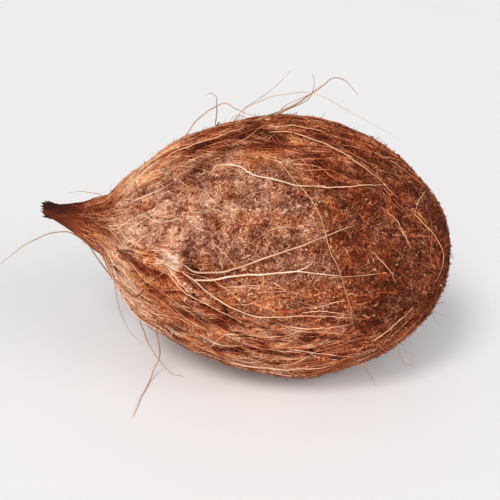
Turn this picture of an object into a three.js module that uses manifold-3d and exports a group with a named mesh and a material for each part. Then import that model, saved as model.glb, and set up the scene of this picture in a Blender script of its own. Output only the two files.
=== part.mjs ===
// A husked coconut lying on its side: the nut in its coat of fibre, with the tuft of husk left
// over its eyes drawn out to a point. It is one solid, because it grew as one piece.
//
// Millimetres, +Z up. The long axis lies in the XZ plane, tuft towards -X and raised a little.
// The origin is on the surface it rests on, under the middle of its bounding box.
import * as THREE from "three";
import { mergeVertices } from "three/addons/utils/BufferGeometryUtils.js";
import Module from "manifold-3d";

// Driving dimensions of the nut, measured along and across its own long axis.
const NUT_RADIUS = 53; // at the girth
const GIRTH_TO_BLUNT_END = 68.8;
const GIRTH_TO_SHOULDER = 72.4; // where the nut's own curve would close under the tuft
const SHOULDER_FULLNESS = 1.72; // 2 would be an ellipse; less is more pointed
const GIRTH_TO_TIP = 101.3;

// The tuft is a cone with a waisted flank, wide where it fans out over the nut.
const TUFT_TIP_RADIUS = 1.7;
const TUFT_BASE_RADIUS = 21;
const TUFT_BASE_FROM_GIRTH = 58;
const TUFT_FADE_LENGTH = 34; // how far the fan of fibre runs on under the nut's own curve
const TUFT_WAIST = 1.4; // 1 would be a straight cone
const TUFT_LIFT = 4; // the tip bends up by this much
const TUFT_BEND_FROM_GIRTH = 76.5;

// Irregularities: three faint ribs where the nut's carpels meet, broad low swellings, and a
// shoulder that is fuller underneath.
const RIB_SHARE = 0.011;
const RIB_TURN = THREE.MathUtils.degToRad(38);
const SWELLING = 0.3;
const SHOULDER_SLUMP = 1.2; // the upper shoulder lies this much lower, and the under one fuller
const SLUMP_FROM_GIRTH = 49.6;
const SLUMP_SPREAD = 15;
const SHOULDER_SCOOP = 4; // the upper flank is drawn in by this much where the tuft fans out
const SCOOP_FROM_GIRTH = 59;
const SCOOP_SPREAD = 9.4;
const SCOOP_TURN = THREE.MathUtils.degToRad(-25); // it is deepest a little towards +Y

// How it lies: the heavy blunt end down, on a small flat spot pressed into the fibre.
const AXIS_TILT = THREE.MathUtils.degToRad(5);
const FLAT_SPOT_DEPTH = 1.9;

const STATIONS = 46; // rings along the axis
const SIDES = 60; // points round each ring
const FLOOR_BLOCK = 400;

const SAME_POINT = 1e-6; // corners closer than this are one

// Radius of the nut alone at a distance along the axis from its girth, blunt end positive.
function nutRadius(along) {
  if (along >= 0) {
    const share = Math.min(1, along / GIRTH_TO_BLUNT_END);
    return NUT_RADIUS * Math.sqrt(1 - share * share);
  }
  const share = Math.min(1, -along / GIRTH_TO_SHOULDER);
  return NUT_RADIUS * Math.sqrt(1 - share ** SHOULDER_FULLNESS);
}

// Radius of the tuft alone: it grows from the tip to its base, then fades away under the nut.
function tuftRadius(along) {
  const fromTip = GIRTH_TO_TIP + along;
  const toBase = GIRTH_TO_TIP - TUFT_BASE_FROM_GIRTH;
  if (fromTip <= toBase) {
    const share = Math.max(0, fromTip / toBase);
    return TUFT_TIP_RADIUS + (TUFT_BASE_RADIUS - TUFT_TIP_RADIUS) * share ** TUFT_WAIST;
  }
  const fade = Math.min(1, (fromTip - toBase) / TUFT_FADE_LENGTH);
  return TUFT_BASE_RADIUS * (1 - fade * fade * (3 - 2 * fade));
}

// The two run into each other in a soft fillet.
function outlineRadius(along) {
  return Math.cbrt(nutRadius(along) ** 3 + tuftRadius(along) ** 3);
}

// Height of the centre line above the straight axis.
function centreLift(along) {
  const share = (-along - TUFT_BEND_FROM_GIRTH) / (GIRTH_TO_TIP - TUFT_BEND_FROM_GIRTH);
  return share > 0 ? TUFT_LIFT * share ** 1.5 : 0;
}

// How much the surface stands proud of the plain outline at an angle round the axis.
function relief(along, angle) {
  const radius = outlineRadius(along);
  const rib = RIB_SHARE * radius * Math.cos(3 * (angle - RIB_TURN));
  const swell =
    Math.sin(along * 0.083 + 2 * angle) +
    0.7 * Math.sin(along * 0.141 - 3 * angle + 1.1) +
    0.5 * Math.sin(along * 0.057 + 5 * angle + 2.6);
  const fromSlump = (along + SLUMP_FROM_GIRTH) / SLUMP_SPREAD;
  const slump = SHOULDER_SLUMP * Math.cos(angle) * Math.exp(-fromSlump * fromSlump);
  const fromScoop = (along + SCOOP_FROM_GIRTH) / SCOOP_SPREAD;
  const facing = ((1 + Math.cos(angle - SCOOP_TURN)) / 2) ** 1.5;
  const scoop = SHOULDER_SCOOP * facing * Math.exp(-fromScoop * fromScoop);
  return rib - slump - scoop + SWELLING * swell * Math.min(1, radius / NUT_RADIUS);
}

// A point of the skin, with the axis still level. Angle 0 points up and 90 degrees along -Y.
function skinPoint(along, angle) {
  const radius = outlineRadius(along) + relief(along, angle);
  return new THREE.Vector3(
    along,
    -radius * Math.sin(angle),
    centreLift(along) + radius * Math.cos(angle),
  );
}

// Stations crowd towards the blunt end, where the outline turns sharply, and the tuft's tip.
function stationAt(index) {
  const share = index / (STATIONS - 1);
  const eased = share - 0.62 * Math.sin(2 * Math.PI * share) / (2 * Math.PI);
  return -GIRTH_TO_TIP + (GIRTH_TO_TIP + GIRTH_TO_BLUNT_END) * eased;
}

function coconutSkin() {
  const points = [skinPoint(-GIRTH_TO_TIP, 0).setY(0).setZ(centreLift(-GIRTH_TO_TIP))];
  for (let ring = 0; ring < STATIONS - 1; ring++) {
    for (let side = 0; side < SIDES; side++) {
      points.push(skinPoint(stationAt(ring), (2 * Math.PI * side) / SIDES));
    }
  }
  points.push(new THREE.Vector3(GIRTH_TO_BLUNT_END, 0, 0));

  const faces = [];
  const at = (ring, side) => 1 + ring * SIDES + (side % SIDES);
  const lastRing = STATIONS - 2;
  for (let side = 0; side < SIDES; side++) {
    faces.push(0, at(0, side + 1), at(0, side));
    for (let ring = 0; ring < lastRing; ring++) {
      faces.push(at(ring, side), at(ring + 1, side + 1), at(ring + 1, side));
      faces.push(at(ring, side), at(ring, side + 1), at(ring + 1, side + 1));
    }
    faces.push(at(lastRing, side), at(lastRing, side + 1), points.length - 1);
  }
  return new THREE.BufferGeometry().setFromPoints(points).setIndex(faces);
}

const wasm = await Module();
wasm.setup();

function toSolid(geometry) {
  const plain = geometry.clone();
  plain.deleteAttribute("normal");
  plain.deleteAttribute("uv");
  const merged = mergeVertices(plain, SAME_POINT);
  return new wasm.Manifold(
    new wasm.Mesh({
      numProp: 3,
      vertProperties: merged.attributes.position.array,
      triVerts: new Uint32Array(merged.index.array),
    }),
  );
}

function toGeometry(solid) {
  const mesh = solid.getMesh();
  const geometry = new THREE.BufferGeometry();
  geometry.setAttribute("position", new THREE.BufferAttribute(mesh.vertProperties, 3));
  geometry.setIndex(new THREE.BufferAttribute(mesh.triVerts, 1));
  geometry.computeVertexNormals();
  return geometry;
}

// Tilts the skin, presses the flat spot into its underside and moves the origin under its middle.
function layDown(geometry) {
  geometry.rotateY(AXIS_TILT);
  geometry.computeBoundingBox();
  const floorHeight = geometry.boundingBox.min.z + FLAT_SPOT_DEPTH;
  const floor = new THREE.BoxGeometry(FLOOR_BLOCK, FLOOR_BLOCK, FLOOR_BLOCK);
  floor.translate(0, 0, floorHeight - FLOOR_BLOCK / 2);
  const pressed = toGeometry(toSolid(geometry).subtract(toSolid(floor)));
  pressed.computeBoundingBox();
  const { min, max } = pressed.boundingBox;
  return pressed.translate(-(min.x + max.x) / 2, -(min.y + max.y) / 2, -min.z);
}

const husk = new THREE.MeshStandardMaterial({ color: 0x8a5232, roughness: 0.95, metalness: 0 });

const coconut = new THREE.Mesh(layDown(coconutSkin()), husk);
coconut.name = "coconut";

const part = new THREE.Group();
part.add(coconut);

export default part;
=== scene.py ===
import math

import bpy
import numpy as np
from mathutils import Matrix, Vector
from mathutils.bvhtree import BVHTree


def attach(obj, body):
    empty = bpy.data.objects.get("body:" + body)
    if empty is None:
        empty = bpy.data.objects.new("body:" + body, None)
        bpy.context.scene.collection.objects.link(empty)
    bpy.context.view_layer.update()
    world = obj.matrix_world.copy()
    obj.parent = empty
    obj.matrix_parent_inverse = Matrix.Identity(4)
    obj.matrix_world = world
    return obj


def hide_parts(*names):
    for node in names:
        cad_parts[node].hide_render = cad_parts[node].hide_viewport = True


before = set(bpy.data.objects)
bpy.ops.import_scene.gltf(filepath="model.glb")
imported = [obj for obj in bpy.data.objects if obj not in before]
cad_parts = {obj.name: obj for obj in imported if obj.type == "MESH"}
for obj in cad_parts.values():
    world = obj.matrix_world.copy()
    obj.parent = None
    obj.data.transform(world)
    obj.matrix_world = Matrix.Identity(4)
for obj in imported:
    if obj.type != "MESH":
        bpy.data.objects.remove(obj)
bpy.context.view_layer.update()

# A husked coconut: matted brown felt, long combed fibres drawn together into a tuft, a torn edge of
# bared pith and loose hairs. Lengths are millimetres until make_mesh() turns them into metres.
#
# A place on the nut is (along, angle). Along is the distance from the girth on the long axis, blunt
# end positive. Angle turns round the axis in degrees: 0 is up and 90 is the side that faces -Y.

METRE = 0.001  # one millimetre
CAD_NODE = "coconut"
BODY = "root"
COLOUR_MAP = "OFBake"  # the UV map that the fibres' colours are laid out on

# Greyness runs from rust at 0 through brown to grey at 1, and on to straw.
BROWN_AT = 0.3
STRAW_AT = 2.0

# The nut's own dimensions, as in the CAD.
AXIS_TILT = math.radians(5)
GIRTH_RADIUS = 53
GIRTH_TO_BLUNT_END = 68.8
GIRTH_TO_TIP = 101.3
TUFT_BEND_FROM_GIRTH = 76.5
TUFT_LIFT = 4

# The husk's mesh: rings over the skin and points round each ring.
RINGS = 264
SIDES = 376
SINK = 0.7  # the felt lies this far under the CAD skin, and the fibres fill up to it
CRUMB = 1e-9  # stands in for zero where something is divided by a length

# The relief of the felt's flaws, in millimetres, and the place where the tuft is broken off.
GROOVE_DEPTH = 1.5
LIP_HEIGHT = 1.1
HOLLOW_DEPTH = 1.7
BROKEN_FROM = -96
BROKEN_SHARE = 0.6  # of what lies past that place is missing

# The coat gives way to the bare tuft between these places along the axis.
COAT_END = -77
BARE_FROM = -81

AXIS = np.array([math.cos(AXIS_TILT), 0, -math.sin(AXIS_TILT)])
UP = np.array([math.sin(AXIS_TILT), 0, math.cos(AXIS_TILT)])
ACROSS = np.array([0.0, 1.0, 0.0])


def cad_points():
    """The CAD node's vertices, in millimetres."""
    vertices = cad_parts[CAD_NODE].data.vertices
    flat = np.empty(len(vertices) * 3)
    vertices.foreach_get("co", flat)
    return flat.reshape(-1, 3) / METRE


CAD_POINTS = cad_points()
BLUNT_END = CAD_POINTS[CAD_POINTS[:, 0].argmax()]
GIRTH_CENTRE = BLUNT_END - GIRTH_TO_BLUNT_END * AXIS


def unit(vectors):
    return vectors / np.maximum(np.linalg.norm(vectors, axis=-1, keepdims=True), CRUMB)


def smoothstep(low, high, value):
    share = np.clip((value - low) / (high - low), 0, 1)
    return share * share * (3 - 2 * share)


def noise(points, seed):
    """Smooth noise of about -1 to 1, with one lattice cell to the unit."""
    cell = np.floor(points).astype(np.int64)
    part = points - cell
    fade = part**3 * (part * (part * 6 - 15) + 10)
    total = np.zeros(points.shape[:-1])
    for corner in np.ndindex(2, 2, 2):
        lattice = (cell + corner) * (73856093, 19349663, 83492791)
        code = (lattice[..., 0] ^ lattice[..., 1] ^ lattice[..., 2]) + seed * 7919
        code = ((code & 0xFFFFFFFF) * 1274126177) & 0xFFFFFFFF
        code = ((code ^ (code >> 15)) * 2246822519) & 0xFFFFFFFF
        code = code ^ (code >> 13)
        slopes = np.stack([code & 1023, (code >> 10) & 1023, (code >> 20) & 1023], -1) / 511.5 - 1
        weights = np.where(corner, fade, 1 - fade).prod(-1)
        total += weights * (slopes * (part - corner)).sum(-1)
    return total * 1.4


# ---------------------------------------------------------------- the skin as a map


def spine(along):
    """Points of the centre line, which bends up inside the tuft."""
    share = (-along - TUFT_BEND_FROM_GIRTH) / (GIRTH_TO_TIP - TUFT_BEND_FROM_GIRTH)
    lift = TUFT_LIFT * np.clip(share, 0, None) ** 1.5
    return GIRTH_CENTRE + along[..., None] * AXIS + lift[..., None] * UP


def outward(angle):
    """Directions square to the axis, for angles in radians."""
    return np.cos(angle)[..., None] * UP - np.sin(angle)[..., None] * ACROSS


class Skin:
    """The CAD solid's surface, read once and looked up anywhere.

    Its chart is flat: a chart position's length is the way over the skin from the blunt end, and its
    direction is the angle round the axis. A grid of rings and sides holds the points and normals.
    """

    def __init__(self):
        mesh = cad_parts[CAD_NODE].data
        self.tree = BVHTree.FromPolygons(
            [Vector(p) for p in CAD_POINTS], [tuple(f.vertices) for f in mesh.polygons]
        )
        self.measure_meridian()
        self.step = self.way[-1] / RINGS
        ring_way = self.step * np.arange(RINGS + 1)
        self.angle = np.broadcast_to(np.arange(SIDES) * 2 * np.pi / SIDES, (RINGS + 1, SIDES))
        self.along = np.broadcast_to(self.along_at(ring_way)[:, None], (RINGS + 1, SIDES))
        self.grid_way = np.broadcast_to(ring_way[:, None], (RINGS + 1, SIDES))
        heading = np.stack([np.cos(self.angle), np.sin(self.angle)], -1)
        self.grid_chart = self.grid_way[..., None] * heading
        radius = self.cast(self.along[1:], self.angle[1:])
        self.base = spine(self.along)
        self.base[1:] += radius[..., None] * outward(self.angle[1:])
        self.base[0] = BLUNT_END
        self.ring_radius = np.concatenate([[0], radius.mean(1)])
        round_it = np.roll(self.base, -1, 1) - np.roll(self.base, 1, 1)
        down_it = np.gradient(self.base, axis=0)
        self.normal = unit(np.cross(down_it, round_it))
        self.normal[0] = AXIS
        self.broad = self.base
        self.fine = self.base

    def cast(self, along, angle):
        """How far the surface is from the spine."""
        starts = spine(along).reshape(-1, 3)
        ways = outward(angle).reshape(-1, 3)
        found = [self.tree.ray_cast(Vector(s), Vector(w))[3] for s, w in zip(starts, ways)]
        return np.array(found).reshape(along.shape)

    def measure_meridian(self):
        """The mean outline, as matching lists of way over the skin, along and radius."""
        share = (1 - np.cos(np.linspace(0, np.pi, 500)[1:-1])) / 2
        along = GIRTH_TO_BLUNT_END - (GIRTH_TO_BLUNT_END + GIRTH_TO_TIP) * share
        angle = np.arange(8) * np.pi / 4
        both = np.broadcast_arrays(along[:, None], angle[None, :])
        radius = self.cast(*both).mean(1)
        steps = np.hypot(np.diff(radius, prepend=0), np.diff(along, prepend=GIRTH_TO_BLUNT_END))
        self.way = np.concatenate([[0], np.cumsum(steps)])
        self.way_along = np.concatenate([[GIRTH_TO_BLUNT_END], along])
        self.way_radius = np.concatenate([[0], radius])

    def along_at(self, way):
        return np.interp(way, self.way, self.way_along)

    def way_at(self, along):
        return np.interp(-np.asarray(along, float), -self.way_along, self.way)

    def radius_at(self, way):
        return np.interp(way, self.way, self.way_radius)

    def chart(self, along, degrees):
        """The chart positions of places given as (along, angle in degrees)."""
        angle = np.radians(degrees)
        way = self.way_at(along)
        return np.stack([way * np.cos(angle), way * np.sin(angle)], -1)

    def place_of(self, chart):
        """(along, angle in degrees) of chart positions."""
        way = np.hypot(chart[..., 0], chart[..., 1])
        return self.along_at(way), np.degrees(np.arctan2(chart[..., 1], chart[..., 0]))

    def look_up(self, grid, chart):
        """A grid's value at chart positions, blended from the four points round each."""
        row = np.clip(np.hypot(chart[..., 0], chart[..., 1]) / self.step, 0, RINGS - 0.001)
        column = np.arctan2(chart[..., 1], chart[..., 0]) / (2 * np.pi) * SIDES % SIDES
        top, left = row.astype(int), column.astype(int) % SIDES
        right = (left + 1) % SIDES
        down, over = (row - top)[..., None], (column - np.floor(column))[..., None]
        upper = grid[top, left] * (1 - over) + grid[top, right] * over
        lower = grid[top + 1, left] * (1 - over) + grid[top + 1, right] * over
        return upper * (1 - down) + lower * down

    def points(self, chart, lift=0.0, grid=None):
        """Points over the skin. Lift is how far out they stand."""
        surface = self.look_up(self.fine if grid is None else grid, chart)
        return surface + np.asarray(lift)[..., None] * self.look_up(self.normal, chart)

    def lay(self, chart):
        """Coordinates along the fibres, for streaks: the nut as a straight tube of constant girth."""
        way = np.hypot(chart[..., 0], chart[..., 1])
        heading = chart / np.maximum(way, CRUMB)[..., None]
        return np.concatenate([heading * GIRTH_RADIUS, way[..., None]], -1)


# ---------------------------------------------------------------- how the husk varies over the nut

# Patches of the husk's coat: along, angle, half length, half angle, then what it is like there:
# lightness and greyness of its fibres, how far they are combed into long strands, and how much
# curly fuzz stands on them.
ALL_ROUND = 1e6
PATCHES = (
    (-100, 0, 7, ALL_ROUND, 0.18, 0.35, 1.0, 0.0),  # the tuft's dark dry tip
    (-90, 0, 6, ALL_ROUND, 0.28, 0.05, 1.0, 0.0),
    (-84, 0, 4, ALL_ROUND, 0.31, 0.05, 1.0, 0.0),  # the rust-coloured neck
    (-77, 0, 6, 32, 0.70, 0.20, 1.0, 0.1),
    (-75, 62, 7, 34, 0.41, 0.00, 1.0, 0.1),
    (-77, 124, 6, 32, 0.54, 0.14, 1.0, 0.1),
    (-74, 230, 7, 70, 0.54, 0.15, 1.0, 0.1),
    (-59, 4, 13, 22, 0.79, 0.08, 1.0, 0.1),  # golden shoulder
    (-33, -6, 12, 20, 0.43, 0.02, 1.0, 0.1),
    (-66, 68, 7, 20, 0.78, 0.25, 0.6, 0.15),
    (-64, 114, 11, 28, 0.89, 0.36, 1.0, 0.1),
    (-48, 102, 11, 13, 0.58, 0.02, 0.8, 0.3),  # orange lower shoulder
    (-42, 79, 5, 6, 0.90, 0.50, 0.0, 0.0),  # flaky edge of the torn coat
    (-50, 56, 15, 16, 0.76, 0.48, 0.1, 0.2),  # bared pith
    (-33, 58, 9, 9, 0.74, 0.56, 0.1, 0.25),
    (-42, 38, 12, 9, 0.61, 0.48, 0.3, 0.3),  # mauve shadow over the pith
    (-22, 50, 8, 14, 0.68, 0.55, 0.0, 0.7),
    (-28, 68, 6, 4, 0.58, 0.80, 0.0, 0.5),
    (-31, 79, 5, 5, 0.57, 0.40, 0.0, 0.4),
    (1, 62, 16, 20, 0.56, 0.45, 0.0, 1.0),  # the felt in the middle
    (-8, 90, 20, 9, 0.58, 0.15, 0.3, 0.8),
    (-14, 9, 18, 13, 0.59, 0.20, 0.9, 0.3),  # red-brown ridges on top
    (0, -4, 26, 12, 0.40, 0.00, 1.0, 0.2),
    (24, 8, 16, 20, 0.42, 0.12, 0.7, 0.5),
    (24, 36, 12, 12, 0.39, 0.15, 0.3, 0.9),
    (28, 58, 9, 14, 0.36, 0.20, 0.1, 1.0),
    (50, 70, 14, 45, 0.35, 0.24, 0.2, 1.0),  # dark curly blunt end
    (50, 15, 13, 25, 0.33, 0.28, 0.4, 0.8),
    (-6, 122, 30, 18, 0.61, 0.20, 1.0, 0.3),  # long strands low on the near side
    (-30, 111, 13, 7, 0.51, 0.05, 0.9, 0.3),
    (20, 90, 9, 8, 0.45, 0.18, 0.2, 0.9),
    (20, 135, 13, 10, 0.37, 0.12, 0.7, 0.6),
    (43, 136, 9, 11, 0.48, 0.30, 0.2, 0.9),
    (46, 112, 9, 10, 0.32, 0.15, 0.2, 0.9),
    (-42, 132, 9, 10, 0.72, 0.20, 1.0, 0.1),
    (-42, 170, 20, 30, 0.58, 0.18, 1.0, 0.2),  # the far side and underneath
    (5, 190, 24, 30, 0.46, 0.15, 0.9, 0.4),
    (38, 210, 20, 30, 0.38, 0.20, 0.3, 0.9),
    (-38, 240, 16, 20, 0.62, 0.60, 0.2, 0.5),
    (-2, 255, 18, 18, 0.48, 0.40, 0.1, 1.0),
    (-58, 292, 16, 30, 0.66, 0.15, 1.0, 0.1),
    (-15, 310, 24, 20, 0.48, 0.12, 0.9, 0.3),
    (30, 290, 18, 25, 0.38, 0.20, 0.4, 0.8),
    (20, 335, 20, 20, 0.42, 0.15, 0.8, 0.4),
    (66, 90, 6, ALL_ROUND, 0.22, 0.05, 0.1, 1.0),
)
PLAIN_COAT = (0.5, 0.3, 0.5, 0.6)
LIGHTNESS, GREYNESS, COMBED, FUZZ = range(4)


def coat(along, degrees):
    """What the coat is like at places, blended between the patches."""
    faint = 1e-4
    total = np.full(np.shape(along), faint)
    values = faint * np.broadcast_to(PLAIN_COAT, (*np.shape(along), 4))
    for middle, turn, half_length, half_angle, *like in PATCHES:
        round_off = (degrees - turn + 180) % 360 - 180
        apart = ((along - middle) / half_length) ** 2 + (round_off / half_angle) ** 2
        weight = np.exp(-1.2 * apart)
        total = total + weight
        values = values + weight[..., None] * np.array(like)
    return values / total[..., None]


# Lines on the husk, as (along, angle) points.
CRACKS = (
    ((-45, 19), (-39, 16), (-33, 14), (-26, 11), (-18, 8), (-10, 9), (-3, 14)),
    ((-41, 37), (-38, 33), (-34, 31), (-31, 32)),
    ((-37, 92), (-29, 98), (-18, 103), (-6, 106)),
    ((-20, 122), (-4, 119), (14, 120), (27, 118)),
    ((6, 10), (16, 12), (28, 17)),
    ((-31, 24), (-16, 20), (-4, 22)),
    ((-35, 84), (-30, 83), (-25, 86), (-19, 88)),
)
SMOOTH_BAND = ((24, 118), (30, 115), (34, 112), (39, 102), (42, 91), (45, 83), (48, 72))
TORN_EDGE = ((-40, 74), (-37, 77), (-36, 80), (-37, 84), (-38, 87), (-35, 90), (-29, 93), (-22, 97))


def spaced(points, spacing):
    """A line through points, with even spacing. Rounded by Catmull-Rom."""
    points = np.asarray(points, float)
    ends = np.concatenate([[2 * points[0] - points[1]], points, [2 * points[-1] - points[-2]]])
    pieces = []
    for before, start, end, after in zip(ends, ends[1:], ends[2:], ends[3:]):
        t = np.linspace(0, 1, 12, endpoint=False)[:, None]
        pieces.append(
            start
            + 0.5 * t * (end - before)
            + t**2 * (before - 2.5 * start + 2 * end - 0.5 * after)
            + t**3 * (1.5 * (start - end) + 0.5 * (after - before))
        )
    line = np.concatenate([*pieces, points[-1:]])
    way = np.concatenate([[0], np.cumsum(np.linalg.norm(np.diff(line, axis=0), axis=1))])
    even = np.linspace(0, way[-1], max(2, int(way[-1] / spacing) + 1))
    return np.stack([np.interp(even, way, column) for column in line.T], -1)


def beside_line(skin, places, reach):
    """For each grid point: how far it is from a line on the skin, how far to its left as it is drawn
    and seen from outside, and the share of the line's length at which it passes."""
    place = spaced(places, 0.8)
    chart = skin.chart(place[:, 0], place[:, 1])
    line = skin.points(chart, 0.0, skin.base)
    along = unit(np.gradient(line, axis=0))
    across = np.cross(along, skin.look_up(skin.normal, chart))
    nearest = np.full(skin.base.shape[:2], np.inf)
    left = np.zeros(skin.base.shape[:2])
    passing = np.zeros(skin.base.shape[:2])
    for share, point, way in zip(np.linspace(0, 1, len(line)), line, across):
        offset = skin.base - point
        apart = np.linalg.norm(offset, axis=-1)
        closer = apart < nearest
        nearest[closer] = apart[closer]
        left[closer] = -(offset[closer] * way).sum(-1)
        passing[closer] = share
    return np.minimum(nearest, reach), left, passing


def strand_lay(skin):
    """Coordinates along the fibres at the grid points, with a little drift so that none runs true."""
    wavering = np.stack([noise(skin.base / 16, 31), noise(skin.base / 16, 32), 0 * skin.along], -1)
    return skin.lay(skin.grid_chart) + 3 * wavering


def bareness(like):
    """How far the smooth pith shows: where the coat is neither combed nor fuzzy."""
    return (1 - like[..., COMBED]) * (1 - like[..., FUZZ])


def pith_plates(strand):
    """Flakes of pith, as steps of about -0.5 and 0.5 with short slopes between them."""
    return smoothstep(-0.12, 0.12, noise(strand / (4, 4, 9), 12)) - 0.5


def husk_relief(skin, like):
    """The husk's height over the CAD skin, broad and fine, the painted shade that darkens its cracks,
    gaps, fissures, sunk band and hollow, and where the lip of the torn edge is."""
    combed = like[..., COMBED]
    lay = skin.lay(skin.grid_chart)
    strand = strand_lay(skin)
    tuft = smoothstep(-74, -86, skin.along)
    coated = 1 - tuft

    broad = (0.6 * noise(skin.base / 17, 1) + 0.4 * noise(skin.base / 9, 2)) * (1 - 0.7 * tuft)
    broad = broad + 0.85 * noise(strand / (5.5, 5.5, 42), 3) * combed * coated
    fine_ridges = 0.6 * noise(strand / (2.6, 2.6, 24), 4) + 0.35 * noise(strand / (1.5, 1.5, 14), 5)
    clumps = 0.55 * noise(skin.base / 4.2, 6) + 0.5 * noise(skin.base / 2.1, 7)
    flutes = 0.4 * noise(lay / (13, 13, 60), 8) + 0.2 * noise(lay / (6, 6, 30), 9)
    gap = smoothstep(0.14, 0.0, np.abs(noise(strand / (7.5, 7.5, 38), 10))) * combed * coated
    fine = fine_ridges * (0.25 + 0.75 * combed) * (1 - 0.8 * tuft)
    fine = fine + clumps * (1 - 0.75 * combed) * coated + flutes * tuft - 1.0 * gap
    bare = bareness(like) * coated
    fissure = smoothstep(0.10, 0.0, np.abs(noise(strand / (3.5, 3.5, 8), 13)))
    fine = fine + bare * (0.9 * pith_plates(strand) - 0.9 * fissure)
    # Painted shade: the gaps between combed strands and the fissures in the pith are darkened.
    painted_shade = np.maximum(0.95 * gap, bare * fissure)

    for line in CRACKS:
        apart, _, passing = beside_line(skin, line, 6)
        groove = smoothstep(2.1, 0.4, apart) * smoothstep(-0.9, 0.1, noise(skin.base / 5, 11))
        groove = groove * smoothstep(0, 0.2, passing) * smoothstep(1, 0.8, passing)
        fine = fine - GROOVE_DEPTH * groove
        # Painted shade in the crack's groove.
        painted_shade = np.maximum(painted_shade, groove)
    apart, _, _ = beside_line(skin, SMOOTH_BAND, 12)
    band = smoothstep(5.5, 2.5, apart)
    fine = fine * (1 - 0.75 * band)
    broad = broad - 0.5 * band
    # Painted shade in the sunk smooth band.
    painted_shade = np.maximum(painted_shade, 0.30 * band)

    apart, left, passing = beside_line(skin, TORN_EDGE, 20)
    torn = smoothstep(0, 0.12, passing) * smoothstep(1, 0.6, passing)
    flaky = smoothstep(-0.35, 0.25, noise(skin.base / 3.5, 14))
    lip = torn * flaky * smoothstep(5, 0.8, apart) * smoothstep(0.5, -0.3, left)
    hollow = torn * smoothstep(11, 1.0, apart) * smoothstep(-0.3, 0.5, left)
    broad = broad + LIP_HEIGHT * lip - HOLLOW_DEPTH * hollow
    # Painted shadow in the hollow beside the torn edge.
    painted_shade = np.maximum(painted_shade, 0.65 * hollow)

    pole = smoothstep(0, 6, skin.grid_way)
    return broad * pole, fine * pole, painted_shade, lip


def husk_tone(skin, like, lip):
    """The coat's lightness and greyness at the grid points, mottled and streaked."""
    combed = like[..., COMBED]
    strand = strand_lay(skin)
    streak = 0.6 * noise(strand / (5, 5, 55), 21) + 0.55 * noise(strand / (2.2, 2.2, 30), 22)
    mottle = 0.55 * noise(skin.base / 9, 23) + 0.5 * noise(skin.base / 4, 24)
    mottle = mottle + 0.45 * noise(skin.base / 1.9, 25)
    light = like[..., LIGHTNESS] - 0.06 + 0.25 * combed * streak + 0.28 * (1 - 0.7 * combed) * mottle
    light = light + 0.16 * bareness(like) * pith_plates(strand)
    grey = like[..., GREYNESS] + 0.45 * noise(skin.base / 8, 26) + 0.25 * noise(skin.base / 3.5, 27)
    grey = grey + 0.25 * combed * noise(strand / (4, 4, 40), 28)
    return light + 0.24 * lip, np.minimum(grey + 0.2 * lip, 1)


def dress(skin):
    """Lays the husk's relief and its colours on the map, draws the tuft's tip back where it is broken
    off, and keeps it all above the floor."""
    like = coat(skin.along, np.degrees(skin.angle))
    broad, fine, painted_shade, lip = husk_relief(skin, like)
    light, grey = husk_tone(skin, like, lip)
    sunk = SINK * (1 - 0.6 * smoothstep(-78, -92, skin.along))
    skin.broad = skin.base + (broad - sunk)[..., None] * skin.normal
    skin.fine = skin.broad + fine[..., None] * skin.normal
    broken = BROKEN_SHARE * np.clip(BROKEN_FROM - skin.along, 0, None)
    skin.broad = skin.broad + broken[..., None] * AXIS
    skin.fine = skin.fine + broken[..., None] * AXIS
    skin.broad[..., 2] = np.maximum(skin.broad[..., 2], 0)
    skin.fine[..., 2] = np.maximum(skin.fine[..., 2], 0)
    # The tone holds lightness, greyness and the painted shade of the cracks, gaps and hollows.
    skin.tone = np.stack([light, grey, painted_shade], -1)
    return skin


# ---------------------------------------------------------------- meshes


def make_mesh(name, points, faces, material, corner_map=None, smooth=True):
    """A piece from points in millimetres and arrays of faces, one array for each number of corners."""
    mesh = bpy.data.meshes.new(name)
    mesh.vertices.add(len(points))
    mesh.vertices.foreach_set("co", (points * METRE).astype(np.float32).ravel())
    corners = np.concatenate([f.ravel() for f in faces])
    sizes = np.concatenate([np.full(len(f), f.shape[1]) for f in faces])
    mesh.loops.add(len(corners))
    mesh.loops.foreach_set("vertex_index", corners.astype(np.int32))
    mesh.polygons.add(len(sizes))
    mesh.polygons.foreach_set("loop_start", (np.cumsum(sizes) - sizes).astype(np.int32))
    mesh.polygons.foreach_set("use_smooth", np.full(len(sizes), smooth))
    mesh.update(calc_edges=True)
    if corner_map is not None:
        layer = mesh.uv_layers.new(name=COLOUR_MAP)
        layer.uv.foreach_set("vector", corner_map(corners).astype(np.float32).ravel())
    mesh.materials.append(material)
    piece = bpy.data.objects.new(name, mesh)
    bpy.context.scene.collection.objects.link(piece)
    return piece


def add_vectors(piece, name, values):
    """Stores one vector at each vertex, for the material to read."""
    attribute = piece.data.attributes.new(name, "FLOAT_VECTOR", "POINT")
    attribute.data.foreach_set("vector", values.astype(np.float32).ravel())


def finish_piece(piece):
    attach(piece, BODY)
    return piece


def with_poles(grid):
    """A grid's values in the order of the husk's vertices: blunt end, rings, tip."""
    rings = grid[1:]
    ends = grid[0].mean(0, keepdims=True), rings[-1].mean(0, keepdims=True)
    return np.concatenate([ends[0], rings.reshape(-1, 3), ends[1]])


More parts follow.
